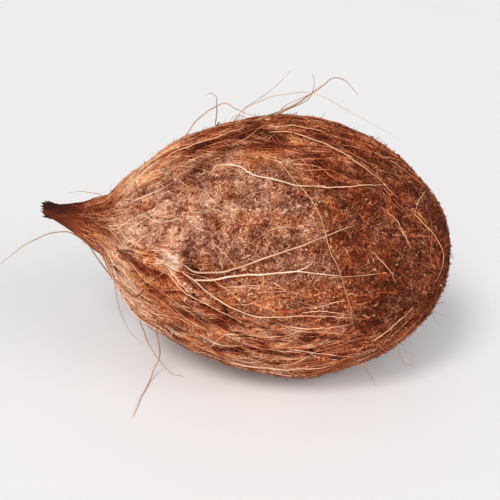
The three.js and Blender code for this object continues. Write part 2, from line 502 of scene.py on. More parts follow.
def husk_piece(skin, material):
    """The felted husk itself, one closed skin."""
    points = with_poles(skin.fine)
    points[0] = BLUNT_END - SINK * AXIS
    points[-1] = points[-1] - 0.6 * AXIS
    ring, side = np.meshgrid(np.arange(RINGS - 1), np.arange(SIDES), indexing="ij")
    a = 1 + ring * SIDES + side
    b = 1 + ring * SIDES + (side + 1) % SIDES
    quads = np.stack([a, a + SIDES, b + SIDES, b], -1).reshape(-1, 4)
    first = 1 + np.arange(SIDES)
    last = first + (RINGS - 1) * SIDES
    blunt_fan = np.stack([0 * first, first, np.roll(first, -1)], -1)
    tip_fan = np.stack([0 * last + len(points) - 1, np.roll(last, -1), last], -1)
    piece = make_mesh("husk", points, [quads, blunt_fan, tip_fan], material)

    like = coat(skin.along, np.degrees(skin.angle))
    weave = np.stack([like[..., COMBED], like[..., FUZZ], 0 * skin.along], -1)
    add_vectors(piece, "lay", with_poles(strand_lay(skin)))
    add_vectors(piece, "tone", with_poles(skin.tone))
    add_vectors(piece, "weave", with_poles(weave))
    return piece


def carried_across(tangent):
    """Directions square to each path that turn as little as they can along it."""
    upright = np.abs(tangent[:, :1, 2:]) > 0.8
    helper = np.where(upright, [[[1.0, 0, 0]]], [[[0, 0, 1.0]]])
    across = np.empty_like(tangent)
    across[:, 0] = unit(np.cross(tangent[:, 0], helper[:, 0]))
    for k in range(1, tangent.shape[1]):
        slant = (across[:, k - 1] * tangent[:, k]).sum(-1, keepdims=True)
        across[:, k] = unit(across[:, k - 1] - slant * tangent[:, k])
    return across


def tubes(name, paths, radii, sides, colour, material, outer=None, flatness=1.0):
    """Closed tapering tubes along many paths of equal numbers of points. Colour is (lightness,
    greyness) at each point. Where outer gives the directions out of the husk, the tubes lie flat on
    it, and flatness is their thickness for their width."""
    count, stations = paths.shape[:2]
    tangent = unit(np.gradient(paths, axis=1))
    across = carried_across(tangent) if outer is None else unit(np.cross(tangent, outer))
    over = np.cross(across, tangent)
    turn = np.arange(sides) * 2 * np.pi / sides
    ring = across[:, :, None] * np.cos(turn)[:, None]
    ring = ring + flatness * over[:, :, None] * np.sin(turn)[:, None]
    points = paths[:, :, None] + radii[:, :, None, None] * ring
    points[..., 2] = np.maximum(points[..., 2], 0.02)

    index = np.arange(count * stations * sides).reshape(count, stations, sides)
    a, b = index[:, :-1], np.roll(index, -1, 2)[:, :-1]
    c, d = np.roll(index, -1, 2)[:, 1:], index[:, 1:]
    quads = np.stack([d, c, b, a], -1).reshape(-1, 4)
    caps = np.concatenate([index[:, 0], index[:, -1, ::-1]])

    # The rim gives each fibre some width on the colour map.
    rim = np.linspace(0, 1, sides)
    hue = colour[:, :, 1, None] / STRAW_AT
    swatch = np.stack([colour[:, :, 0, None] + 0 * rim, hue + 0.02 * rim], -1)
    swatch = np.clip(swatch, 0.01, 0.99).reshape(-1, 2)
    return make_mesh(
        name, points.reshape(-1, 3), [quads, caps], material, lambda corners: swatch[corners]
    )


def in_pieces(name, count, paths, radii, sides, colour, material, outer=None, flatness=1.0):
    """The same tubes as several pieces, none too heavy."""
    for number, group in enumerate(np.array_split(np.arange(len(paths)), count), 1):
        facing = None if outer is None else outer[group]
        label = f"{name}_{number}"
        rows = paths[group], radii[group], sides, colour[group]
        finish_piece(tubes(label, *rows, material, facing, flatness))


# ---------------------------------------------------------------- fibres


def scatter(skin, rng, count, wanted):
    """Random chart positions, even over the skin but thinned to wanted(along, like, points), and
    sparse in cracks and hollows."""
    tries = count * 6
    area = np.cumsum(skin.ring_radius)
    way = np.interp(rng.random(tries) * area[-1], area, skin.grid_way[:, 0])
    angle = rng.random(tries) * 2 * np.pi
    chart = np.stack([way * np.cos(angle), way * np.sin(angle)], -1)
    along, degrees = skin.place_of(chart)
    share = wanted(along, coat(along, degrees), skin.points(chart))
    share = share * (1 - 0.8 * skin.look_up(skin.tone, chart)[..., 2])
    return chart[rng.random(tries) < share][:count]


def walk(skin, start, heading, step, turns):
    """Chart positions of fibres that walk over the skin. Heading 0 runs towards the tuft, turns are
    the change of heading at each step, and step is each fibre's stride."""
    chart = np.empty((len(start), turns.shape[1] + 1, 2))
    chart[:, 0] = start
    for k in range(turns.shape[1]):
        heading = heading + turns[:, k]
        way = np.maximum(np.hypot(chart[:, k, 0], chart[:, k, 1]), CRUMB)
        out = chart[:, k] / way[:, None]
        round_it = np.stack([-out[:, 1], out[:, 0]], -1)
        stretch = way / np.maximum(skin.radius_at(way), 1.5)
        forward = np.cos(heading)[:, None] * out + (np.sin(heading) * stretch)[:, None] * round_it
        chart[:, k + 1] = chart[:, k] + step[:, None] * forward
    return chart


def wander(rng, count, steps, curl, memory=0.6):
    """Random turns that keep some of the last one, so that fibres curl rather than jitter."""
    turns = rng.normal(0, 1, (count, steps)) * curl
    for k in range(1, steps):
        turns[:, k] = memory * turns[:, k - 1] + (1 - memory) * turns[:, k] * 2
    return turns


def swirl(skin, chart):
    """The common lean of the fibres round a place, so that neighbours lie alike."""
    points = skin.points(chart, 0.0, skin.base)
    return 0.35 * noise(points / 22, 41) + 0.25 * noise(points / 9, 42)


def dye(skin, rng, chart, lighter, spread):
    """(lightness, greyness) along fibres: the coat's there, darkened by its painted shade, with each
    fibre a little its own.
    """
    count, stations = chart.shape[:2]
    tone = skin.look_up(skin.tone, chart)
    own = rng.normal(lighter, spread, (count, 1)) + rng.normal(0, 0.03, (count, stations))
    # Fibres in cracks, gaps and hollows take the painted shade too.
    light = tone[..., 0] + own - 0.35 * tone[..., 2]
    grey = np.minimum(tone[..., 1] + rng.normal(0, 0.10, (count, 1)), 1) + np.zeros(stations)
    return np.stack([light, grey], -1)


def taper(stations, thin_start=0.6, thin_end=0.35):
    share = np.linspace(0, 1, stations)
    return np.interp(share, [0, 0.25, 0.7, 1], [thin_start, 1, 0.9, thin_end])


def uneven(rng, radii, most=0.2):
    """Radii with a little natural unevenness along each fibre."""
    return radii * rng.uniform(1 - most, 1 + most, radii.shape)


def coat_edge(along, points):
    """1 on the coat and 0 on the bare tuft, with a ragged border."""
    return smoothstep(BARE_FROM, COAT_END, along + 3 * noise(points / 3, 60))


def all_over(along, like, points):
    return coat_edge(along, points)


def undercoat(skin, material):
    """Short fibres matted down over the whole husk, following its lie."""
    rng = np.random.default_rng(101)

    def wanted(along, like, points):
        bare = bareness(like)
        return (0.65 + 0.45 * noise(points / 5, 61)) * (1 - 0.9 * bare) * coat_edge(along, points)

    start = scatter(skin, rng, 15000, wanted)
    count, steps = len(start), 5
    combed = coat(*skin.place_of(start))[:, COMBED]
    length = rng.uniform(2.5, 7, count) * (0.7 + 0.9 * combed)
    heading = swirl(skin, start) + rng.normal(0, 1, count) * (0.2 + 0.9 * (1 - combed))
    turns = wander(rng, count, steps, 0.2 + 0.6 * (1 - combed[:, None]))
    chart = walk(skin, start, heading, length / steps, turns)
    share = np.linspace(0, 1, steps + 1)
    rise = rng.uniform(0.0, 0.45, (count, 1))
    lift = -0.12 + rise * np.sin(np.pi * share) ** 0.7 + rng.normal(0, 0.06, (count, steps + 1))
    radii = uneven(rng, rng.uniform(0.16, 0.34, (count, 1)) * taper(steps + 1))
    colour = dye(skin, rng, chart, -0.02, 0.08)
    in_pieces("undercoat", 3, skin.points(chart, lift), radii, 3, colour, material)


def crumbs(skin, material):
    """Stubby scraps of fibre and pith, felted into the surface every way."""
    rng = np.random.default_rng(109)

    def wanted(along, like, points):
        crumbly = (0.12 + 0.88 * like[:, FUZZ]) * (1 - 0.5 * bareness(like))
        return crumbly * (0.6 + 0.6 * noise(points / 3.5, 64)) * coat_edge(along, points)

    start = scatter(skin, rng, 17000, wanted)
    count, steps = len(start), 3
    length = rng.gamma(3.0, 0.35, count) + 0.4
    heading = swirl(skin, start) + rng.normal(0, 1.1, count)
    chart = walk(skin, start, heading, length / steps, wander(rng, count, steps, 0.5))
    lift = rng.uniform(-0.05, 0.5, (count, 1)) + rng.normal(0, 0.12, (count, steps + 1))
    thick = rng.gamma(5.0, 0.055, (count, 1)) + 0.10
    radii = uneven(rng, thick * taper(steps + 1, 0.55, 0.45), 0.35)
    shade = rng.choice([-0.2, 0.0, 0.16], (count, 1, 1), p=[0.35, 0.35, 0.3])
    colour = dye(skin, rng, chart, 0.0, 0.06) + shade * (1, 0)
    in_pieces("crumbs", 3, skin.points(chart, lift), radii, 4, colour, material)


def curls(skin, material):
    """Small curly fibres, felted into the surface where it isn't combed, and a little proud of it."""
    rng = np.random.default_rng(102)

    def wanted(along, like, points):
        curly = (0.08 + 0.92 * like[:, FUZZ]) * (1 - 0.7 * bareness(like))
        return curly * (0.55 + 0.7 * noise(points / 4, 62)) * coat_edge(along, points)

    start = scatter(skin, rng, 10000, wanted)
    count, steps = len(start), 6
    length = rng.uniform(1.2, 3.2, count)
    heading = rng.uniform(0, 2 * np.pi, count)
    bend = rng.choice([-1, 1], (count, 1)) * rng.uniform(0.1, 0.85, (count, 1))
    chart = walk(skin, start, heading, length / steps, bend + wander(rng, count, steps, 0.35, 0.4))
    share = np.linspace(0, 1, steps + 1)
    rise = rng.gamma(3.0, 0.17, (count, 1)) + 0.15
    hooked = rng.random((count, 1)) < 0.4
    lift = 0.02 + rise * np.where(hooked, share**1.2, np.sin(np.pi * share))
    radii = uneven(rng, rng.uniform(0.13, 0.25, (count, 1)) * taper(steps + 1, 0.8, 0.45))
    colour = dye(skin, rng, chart, 0.13, 0.13)
    in_pieces("curls", 4, skin.points(chart, lift), radii, 4, colour, material)


def bundled(skin, rng, heart, each, steps, spread, reach, length, unruly):
    """Chart paths for bundles of fibres: each bundle has a heart, and its fibres start up to `spread`
    to its side and `reach` along it, and share one course."""
    bundles = len(heart)
    count = bundles * each
    heart_way = np.hypot(heart[:, 0], heart[:, 1])
    heart_angle = np.arctan2(heart[:, 1], heart[:, 0])
    tuft_way = skin.way_at(-76)
    way = np.clip(np.repeat(heart_way, each) + rng.normal(0, reach, count), 2, tuft_way)
    aside = rng.normal(0, 1, count) * np.repeat(rng.uniform(0.3, 1, bundles) * spread, each)
    angle = np.repeat(heart_angle, each) + aside / np.maximum(skin.radius_at(way), 3)
    start = np.stack([way * np.cos(angle), way * np.sin(angle)], -1)
    long = np.repeat(rng.uniform(0.5, 1, bundles), each) * rng.uniform(0.5, 1.0, count) * length
    backwards = rng.random(count) < 0.5
    room = tuft_way + rng.uniform(-2, 5, count) - way
    long = np.where(backwards, long, np.clip(long, 3, np.maximum(room, 3)))
    course = np.repeat(wander(rng, bundles, steps, unruly, 0.7), each, axis=0)
    turns = course + wander(rng, count, steps, unruly * 1.2, 0.5)
    lean = swirl(skin, start) * 0.5 + np.repeat(rng.normal(0, unruly * 3, bundles), each)
    heading = lean + rng.normal(0, unruly * 2, count) + np.pi * backwards
    return walk(skin, start, heading, long / steps, turns)


def combed_wanted(along, like, points):
    return like[:, COMBED] ** 1.5 * smoothstep(66, 45, along) * smoothstep(-80, -74, along) + 0.03


def ribbons(skin, material):
    """Flat matted locks of husk that lie half sunk in the felt, drawn towards the tuft."""
    rng = np.random.default_rng(110)
    steps = 18
    chart = bundled(skin, rng, scatter(skin, rng, 800, combed_wanted), 2, steps, 2.5, 5, 34, 0.035)
    count = len(chart)
    share = np.linspace(0, 1, steps + 1)
    lift = -0.2 + rng.uniform(0, 0.45, (count, 1)) * np.sin(np.pi * share) ** 0.5
    lift = lift + rng.normal(0, 0.04, (count, steps + 1))
    radii = uneven(rng, rng.uniform(0.35, 0.85, (count, 1)) * taper(steps + 1, 0.35, 0.25), 0.25)
    colour = dye(skin, rng, chart, 0.02, 0.09)
    paths = skin.points(chart, lift)
    outer = skin.look_up(skin.normal, chart)
    in_pieces("ribbons", 2, paths, radii, 6, colour, material, outer, 0.5)


def combed_strands(skin, material):
    """Long strands drawn from the tuft towards the blunt end, in loose bundles."""
    rng = np.random.default_rng(103)
    steps = 16
    chart = bundled(skin, rng, scatter(skin, rng, 560, combed_wanted), 5, steps, 2.2, 7, 44, 0.05)
    count = len(chart)
    share = np.linspace(0, 1, steps + 1)
    rise = rng.gamma(2.0, 0.18, (count, 1))
    sway = 0.08 * np.sin(share * rng.uniform(6, 16, (count, 1)) + rng.uniform(0, 6, (count, 1)))
    lift = 0.1 + rise * np.sin(np.pi * share) ** 0.5 + sway
    radii = uneven(rng, rng.uniform(0.12, 0.27, (count, 1)) * taper(steps + 1, 0.7, 0.3))
    colour = dye(skin, rng, chart, 0.11, 0.17)
    in_pieces("strands", 3, skin.points(chart, lift, skin.broad), radii, 4, colour, material)


def bristles(skin, material):
    """Short hairs that lean out of the felt and roughen its outline."""
    rng = np.random.default_rng(111)

    def wanted(along, like, points):
        return (1 - 0.6 * bareness(like)) * coat_edge(along, points)

    start = scatter(skin, rng, 17000, wanted)
    count, steps = len(start), 5
    length = rng.gamma(3.0, 0.65, count) + 0.6
    heading = swirl(skin, start) + rng.normal(0, 0.9, count) + np.pi * (rng.random(count) < 0.7)
    chart = walk(skin, start, heading, length / steps, wander(rng, count, steps, 0.45))
    share = np.linspace(0, 1, steps + 1)
    rise = rng.gamma(2.6, 0.3, (count, 1)) + 0.35
    lift = -0.1 + rise * share ** rng.uniform(0.6, 1.3, (count, 1))
    radii = rng.uniform(0.08, 0.14, (count, 1)) * taper(steps + 1, 1, 0.35)
    colour = dye(skin, rng, chart, 0.11, 0.13)
    in_pieces("bristles", 3, skin.points(chart, lift), radii, 3, colour, material)


def flyaway_hairs(skin, material):
    """Thin hairs that leave the coat and make its soft outline."""
    rng = np.random.default_rng(104)
    start = scatter(skin, rng, 900, all_over)
    count, steps = len(start), 8
    length = rng.uniform(3, 11, count)
    heading = rng.uniform(0, 2 * np.pi, count)
    turns = rng.normal(0, 0.16, (count, 1)) + wander(rng, count, steps, 0.16)
    chart = walk(skin, start, heading, length / steps, turns)
    share = np.linspace(0, 1, steps + 1)
    rise = rng.gamma(2.0, 0.6, (count, 1))
    free = rng.random((count, 1)) < 0.5
    lift = np.where(free, rise * share**1.5, 0.6 * rise * np.sin(np.pi * share))
    radii = rng.uniform(0.06, 0.11, (count, 1)) * taper(steps + 1, 1, 0.4)
    colour = dye(skin, rng, chart, 0.15, 0.12)
    in_pieces("flyaways", 1, skin.points(chart, lift), radii, 3, colour, material)


def stray_hairs(skin, material):
    """Lighter single hairs, lying any way over the coat."""
    rng = np.random.default_rng(113)
    start = scatter(skin, rng, 260, all_over)
    count, steps = len(start), 12
    length = rng.gamma(2.5, 3.5, count) + 3
    heading = rng.normal(0, 0.9, count) + np.pi * (rng.random(count) < 0.5)
    turns = rng.normal(0, 0.07, (count, 1)) + wander(rng, count, steps, 0.12)
    chart = walk(skin, start, heading, length / steps, turns)
    share = np.linspace(0, 1, steps + 1)
    lift = 0.45 + rng.gamma(2.0, 0.3, (count, 1)) * np.sin(np.pi * share) - 0.4 * (share < 0.01)
    radii = uneven(rng, rng.uniform(0.07, 0.14, (count, 1)) * taper(steps + 1, 0.8, 0.4))
    colour = dye(skin, rng, chart, 0.17, 0.10)
    in_pieces("strays", 1, skin.points(chart, lift, skin.broad), radii, 5, colour, material)


# Single strands that lie on the coat: radius, lightness, greyness, then (along, angle, lift) points.
LAID_STRANDS = (
    (0.36, 0.93, 1.3, ((-33, 89, -0.4), (-27, 86, 1.2), (-16.5, 81, 1.6), (-5, 78, 1.3),
        (8.5, 75.5, 1.3), (16.5, 75.5, 1.2), (24, 76, 0.6))),
    (0.24, 0.95, 0.45, ((7, 75.5, 1.2), (10.5, 73.5, 1.2), (13, 71, 0.8))),
    (0.38, 0.74, 1.3, ((-38.5, 80, -0.5), (-32, 83, 0.9), (-20.5, 80, 1.7), (-9.5, 74, 1.8),
        (3, 67.5, 1.7), (16.5, 60, 1.5), (26, 54, 0.6))),
    (0.30, 0.93, 1.3, ((-29, 34, 0), (-26, 31.5, 0.9), (-18.5, 33.5, 1.4), (-12.5, 37.5, 1.3),
        (-4, 39.5, 1.4), (5, 41, 1.4), (14.5, 39.5, 1.2))),
    (0.24, 0.82, 0.25, ((10.5, 40.5, 1.1), (18.5, 39, 1.3), (28, 34.5, 1.2), (38.5, 27.5, 0.7))),
    (0.16, 0.76, 0.25, ((-25, 27, 0.2), (-15.5, 26, 1.0), (-7, 28, 1.3), (1, 37, 1.4), (7, 43, 1.4),
        (13.5, 52, 1.3), (18.5, 65, 1.3), (22.5, 72, 1.2), (26, 82, 1.3), (29, 92, 1.2),
        (31, 101, 1.0), (33, 106, 0.5))),
    (0.26, 0.84, 0.25, ((-39.5, 84, 0.2), (-31, 88, 1.0), (-20.5, 93, 1.3), (-8.5, 97, 1.3),
        (3, 96, 1.3), (16.5, 95, 1.2), (30, 96.5, 0.7))),
    (0.24, 0.8, 0.25, ((-41.5, 86, 0.2), (-34, 94, 1.1), (-22.5, 98, 1.2), (-10.5, 102, 0.9))),
    (0.18, 0.82, 0.3, ((11.5, 94, 0.8), (17.5, 92.5, 1.1), (30, 95, 0.9))),
    (0.2, 0.84, 0.25, ((4, 101, 0.6), (15.5, 102, 1.1), (26, 101, 1.0), (31, 100, 0.5))),
    (0.3, 0.88, 0.25, ((-16.5, 137, 0.4), (-6, 134.5, 1.1), (4, 132, 1.2), (14.5, 131, 1.2),
        (26, 134, 0.8))),
    (0.2, 0.74, 0.2, ((34, 63, 0.5), (38.5, 68, 1.1), (42.5, 73, 1.1), (45.5, 79, 0.6))),
    (0.18, 0.72, 0.2, ((42.5, 48, 0.5), (46.5, 54, 1.2), (49.5, 60, 0.7))),
    (0.22, 0.8, 0.35, ((36, 115, 0.4), (41.5, 113, 1.0), (47.5, 106, 1.3), (54, 99, 0.8))),
    (0.22, 0.8, 0.2, ((-10.5, 7, 0.4), (-3, 6, 1.2), (4, 5.5, 1.3), (11.5, 7, 1.0), (15.5, 8, 0.4))),
    (0.24, 0.8, 0.2, ((-12.5, 11, 0.4), (-2, 12, 1.2), (7, 14.5, 1.3), (17.5, 19.5, 1.4),
        (28, 24, 1.4), (35, 28, 1.3), (42.5, 32.5, 0.7))),
    (0.16, 0.78, 0.3, ((54, 10, 1.0), (51.5, 22, 1.6), (49.5, 32, 1.7), (49.5, 40, 0.8))),
    (0.18, 0.72, 0.2, ((37, 42, 0.6), (41.5, 46, 1.4), (45.5, 52, 1.5), (50.5, 60, 0.7))),
    (0.2, 0.72, 0.2, ((47.5, 37, 0.8), (52.5, 41, 1.4), (59, 46, 1.5), (63, 55, 1.4), (63, 72, 1.3),
        (62, 84, 0.7))),
    (0.18, 0.78, 0.3, ((-41.5, 36, 0.4), (-38.5, 40, 1.0), (-34, 45, 0.5))),
    (0.16, 0.88, 0.5, ((-30, 45, 0.4), (-26, 50, 0.9), (-21.5, 54, 0.5))),
    (0.16, 0.9, 0.5, ((-29, 52, 0.4), (-24, 54, 0.9), (-16.5, 57, 0.5))),
    (0.18, 0.8, 0.35, ((-25, 68, 0.4), (-19.5, 72, 1.0), (-15.5, 76, 0.5))),
    (0.24, 0.84, 0.25, ((-49.5, 14, 0.4), (-43.5, 12, 1.1), (-33, 12, 1.2), (-26, 9.5, 1.1),
        (-18.5, 4, 0.6))),
)

# Strands that stand clear of the coat: radius, lightness, greyness, the places where they are rooted,
# and then free points, in the frame's millimetres.
FREE_STRANDS = (
    (0.4, 0.60, 1.7, ((-37, 8), (-25, 2), (-13.5, -9)),
     ((18, 20, 104), (26, 21, 109), (31, 21, 113), (35, 20, 116.5), (40, 20, 115.5), (45, 20, 109.5))),
    (0.32, 0.52, 1.7, ((-35, 6), (-20.5, -2), (-9.5, -12)),
     ((18, 21, 103), (25, 22, 106.5), (27, 23, 111), (27, 24, 114), (26, 25, 116.5))),
    (0.27, 0.66, 1.7, ((-31, 2), (-17.5, -6), (-8.5, -12)),
     ((15.5, 20, 104), (24, 22, 108), (30, 24, 112))),
    (0.27, 0.64, 1.7, ((-47, 8), (-43.5, 4)),
     ((-19.7, 0, 101.8), (-15.2, 0, 106.5), (-9.9, 0, 110), (-6, 0, 110.9), (-2, 0, 108.8),
      (3, 1, 106.3), (8, 3, 104.6))),
    (0.24, 0.5, 1.7, ((-31.5, 0), (-31.2, -4)),
     ((-10.6, 3, 105.5), (-10.5, 3, 108), (-10.5, 3, 112.2), (-12.3, 3, 114.1), (-14.5, 3, 113.4))),
    (0.18, 0.62, 1.7, ((-31, -6), (-25, -10)),
     ((-1, 14, 104.3), (4.5, 18, 107), (13, 25, 112.4), (17, 30, 116.2))),
    (0.14, 0.72, 1.7, ((-28, -7), (-22, -11)),
     ((0, 13.5, 104.4), (6.7, 14, 108.2), (13.2, 12, 111.1), (27, 10, 113), (42, 10, 106),
      (53.5, 10, 99.5), (61.5, 10, 95))),
    (0.17, 0.55, 1.7, ((-68, 14), (-72.5, 6)),
     ((-60.5, -1, 71.5), (-66.5, -1, 72), (-72, -1, 71.5))),
    (0.3, 0.50, 1.8, ((-45.5, 117), (-54, 117), (-60, 118)),
     ((-52, -20, 44), (-56, -20, 50), (-59.5, -20, 56), (-63.5, -20, 60), (-68, -20, 62.5),
      (-73, -20, 62), (-77.5, -20, 60.5), (-88, -20, 54.5), (-97, -20, 47))),
    (0.16, 0.5, 1.7, ((-62, 105), (-66, 108)),
     ((-50, -18, 32.5), (-48.5, -19, 25.5), (-44.5, -20, 18), (-39.5, -20, 12))),
    (0.26, 0.58, 1.7, ((-48.5, 118), (-54, 122)),
     ((-39, -21, 19.5), (-37, -21, 12.5), (-31, -22, 4), (-27, -23.5, 0.8), (-22.5, -24.5, 0.5))),
    (0.3, 0.58, 1.4, ((-37, 125), (-45.5, 126)),
     ((-32.5, -22, 8.5), (-35, -25, 3), (-36, -31, 0.5), (-37, -40, 0.5), (-37.5, -48, 0.5),
      (-38, -56, 0.5))),
    (0.2, 0.5, 1.8, ((56, 140), (60, 138)),
     ((79, -2, 24), (82, 1, 21.5), (86, 2, 19.5))),
    (0.16, 0.5, 1.8, ((58, 142), (62, 140)),
     ((79, 0, 22.5), (81, 2, 18), (83.5, 3, 15))),
    (0.12, 0.62, 1.7, ((45.5, 130), (49.5, 128)),
     ((65.5, -16, 12.5), (68.5, -18, 7.5), (71.5, -19, 8), (71, -18, 12), (67.5, -17, 12.5),
      (64.5, -17, 8.5))),
    (0.18, 0.6, 1.6, ((33, 150), (37, 147)),
     ((53.5, -20, 4), (55.5, -22, 1.6), (57, -25, 0.5))),
)
STRAND_SIDES = 8
STRAND_POINTS = 60
STRAND_WAVES = 0.11


def wavy(rng, path, size):
    """A little natural unevenness along a strand."""
    share = np.linspace(0, 1, len(path))[:, None]
    phase = rng.uniform(0, 2 * np.pi, (2, 3))
    waves = np.sin(share * 19 + phase[0]) + 0.6 * np.sin(share * 43 + phase[1])
    return path + size * waves


def resampled(path, count):
    way = np.concatenate([[0], np.cumsum(np.linalg.norm(np.diff(path, axis=0), axis=1))])
    even = np.linspace(0, way[-1], count)
    return np.stack([np.interp(even, way, column) for column in path.T], -1)


def laid_path(skin, places):
    place = spaced(places, 0.5)
    return skin.points(skin.chart(place[:, 0], place[:, 1]), place[:, 2], skin.broad)


def free_path(skin, roots, free):
    """A strand that starts at the coat, comes off it and runs on through the free points."""
    root = np.array(roots, float)
    lift = np.linspace(-0.3, 0.9, len(root))
    rooted = skin.points(skin.chart(root[:, 0], root[:, 1]), lift, skin.broad)
    return spaced(np.concatenate([rooted, np.array(free, float)]), 0.5)


def hand_laid(skin, material):
    """The single strands that the eye picks out, on the coat or standing clear of it."""
    rng = np.random.default_rng(105)
    share = np.linspace(0, 1, STRAND_POINTS)
    strands = [(*strand[:3], laid_path(skin, strand[3])) for strand in LAID_STRANDS]
    strands += [(*strand[:3], free_path(skin, *strand[3:])) for strand in FREE_STRANDS]
    paths, radii, colour = [], [], []
    for radius, light, grey, course in strands:
        path = wavy(rng, resampled(course, STRAND_POINTS), STRAND_WAVES)
        thickness = radius * np.interp(share, [0, 0.15, 0.6, 1], [0.75, 1, 0.82, 0.28])
        path[:, 2] = np.maximum(path[:, 2], thickness + 0.02)
        paths.append(path)
        radii.append(thickness)
        lightness = light + 0.05 * np.sin(share * 31 + rng.uniform(0, 6))
        # Painted shade: each strand is darker near its root, where it leaves the felt.
        lightness = lightness - 0.08 * smoothstep(0.2, 0, share)
        colour.append(np.stack([lightness, grey + 0 * share], -1))
    paths, radii, colour = np.array(paths), np.array(radii), np.array(colour)
    finish_piece(tubes("loose_strands", paths, radii, STRAND_SIDES, colour, material))


# ---------------------------------------------------------------- the tuft


def tuft_points(skin, along, angle, lift):
    """Points round the tuft, which may run on past the tip of the skin."""
    way = skin.way_at(np.maximum(along, 0.5 - GIRTH_TO_TIP))
    radius = skin.radius_at(way) + lift
    return spine(along) + np.maximum(radius, 0.1)[..., None] * outward(angle)


def tuft_shade(rng, along, angle, spread):
    """Tuft colours: rust at its root, nearly black at its tip and along its top."""
    ripe = smoothstep(-78, -95, along)
    over = smoothstep(-0.5, 0.9, np.cos(angle + 0.35)) * smoothstep(-73, -86, along)
    light = 0.42 - 0.22 * ripe - 0.21 * over + rng.normal(0, spread, (len(along), 1))
    grey = 0.02 + 0.30 * ripe + rng.normal(0, 0.05, (len(along), 1))
    return np.stack([light, grey], -1)


def tuft_fibres(skin, material):
    """Fine fibres twisted tight into the tuft."""
    rng = np.random.default_rng(106)
    count, steps = 2600, 10
    share = np.linspace(0, 1, steps + 1)
    start = rng.uniform(-94, -70, (count, 1))
    end = start - rng.uniform(6, 18, (count, 1))
    end = np.maximum(end, -GIRTH_TO_TIP + rng.uniform(2, 6, (count, 1)))
    along = start + (end - start) * share
    turn = rng.uniform(0, 2 * np.pi, (count, 1))
    twist = 0.02 * (start - end) * rng.normal(1, 0.5, (count, 1)) * share
    wobble = 0.05 * np.sin(share * rng.uniform(4, 12, (count, 1)) + rng.uniform(0, 6, (count, 1)))
    angle = turn + twist + wobble
    lift = -0.4 + rng.uniform(0.05, 0.4, (count, 1)) * np.sin(np.pi * share) ** 0.5
    paths = tuft_points(skin, along, angle, lift)
    radii = rng.uniform(0.12, 0.3, (count, 1)) * taper(steps + 1, 0.5, 0.5)
    in_pieces("tuft", 2, paths, radii, 4, tuft_shade(rng, along, angle, 0.05), material)


def tuft_collar(skin, material):
    """The ragged ends of the coat that lap over the root of the tuft, curling back here and there."""
    rng = np.random.default_rng(112)
    count, steps = 1300, 8
    share = np.linspace(0, 1, steps + 1)
    start = rng.uniform(-77, -66, (count, 1))
    end = rng.normal(-79, 2.2, (count, 1)) - rng.uniform(0, 2, (count, 1))
    curl = rng.normal(0, 0.35, (count, 1)) * share**2
    angle = rng.uniform(0, 2 * np.pi, (count, 1)) + curl
    along = start + (end - start) * share + np.abs(curl) * 5 * share**3
    lift = -0.5 + rng.uniform(0.2, 0.9, (count, 1)) * np.sin(np.pi * share) ** 0.6 + 0.5 * share
    chart = skin.chart(along, np.degrees(angle))
    paths = skin.points(chart, lift, skin.base)
    radii = uneven(rng, rng.uniform(0.12, 0.28, (count, 1)) * taper(steps + 1, 0.7, 0.35))
    rooted = np.repeat(chart[:, :1], steps + 1, axis=1)
    colour = dye(skin, rng, rooted, -0.10, 0.11)
    in_pieces("tuft_collar", 1, paths, radii, 4, colour, material)


def tuft_end(skin, material):
    """The short stiff bristles that the tuft breaks off in."""
    rng = np.random.default_rng(107)
    count, steps = 230, 6
    share = np.linspace(0, 1, steps + 1)
    angle = rng.uniform(0, 2 * np.pi, (count, 1)) + 0 * share
    along = -93.5 - rng.uniform(0, 3.0, (count, 1)) - rng.uniform(1.5, 4.5, (count, 1)) * share
    flare = rng.uniform(-0.3, 1.7, (count, 1)) * share**1.5 - rng.uniform(0, 1.4, (count, 1))
    paths = tuft_points(skin, along, angle, flare + 0.2)
    radii = rng.uniform(0.16, 0.36, (count, 1)) * taper(steps + 1, 1, 0.4)
    in_pieces("tuft_end", 1, paths, radii, 5, tuft_shade(rng, along, angle, 0.07), material)


# ---------------------------------------------------------------- materials


def srgb(red, green, blue):
    """A linear colour from the 0 to 255 values of a screen colour."""
    share = np.array([red, green, blue]) / 255
    linear = np.where(share <= 0.04045, share / 12.92, ((share + 0.055) / 1.055) ** 2.4)
    return (*linear.tolist(), 1.0)


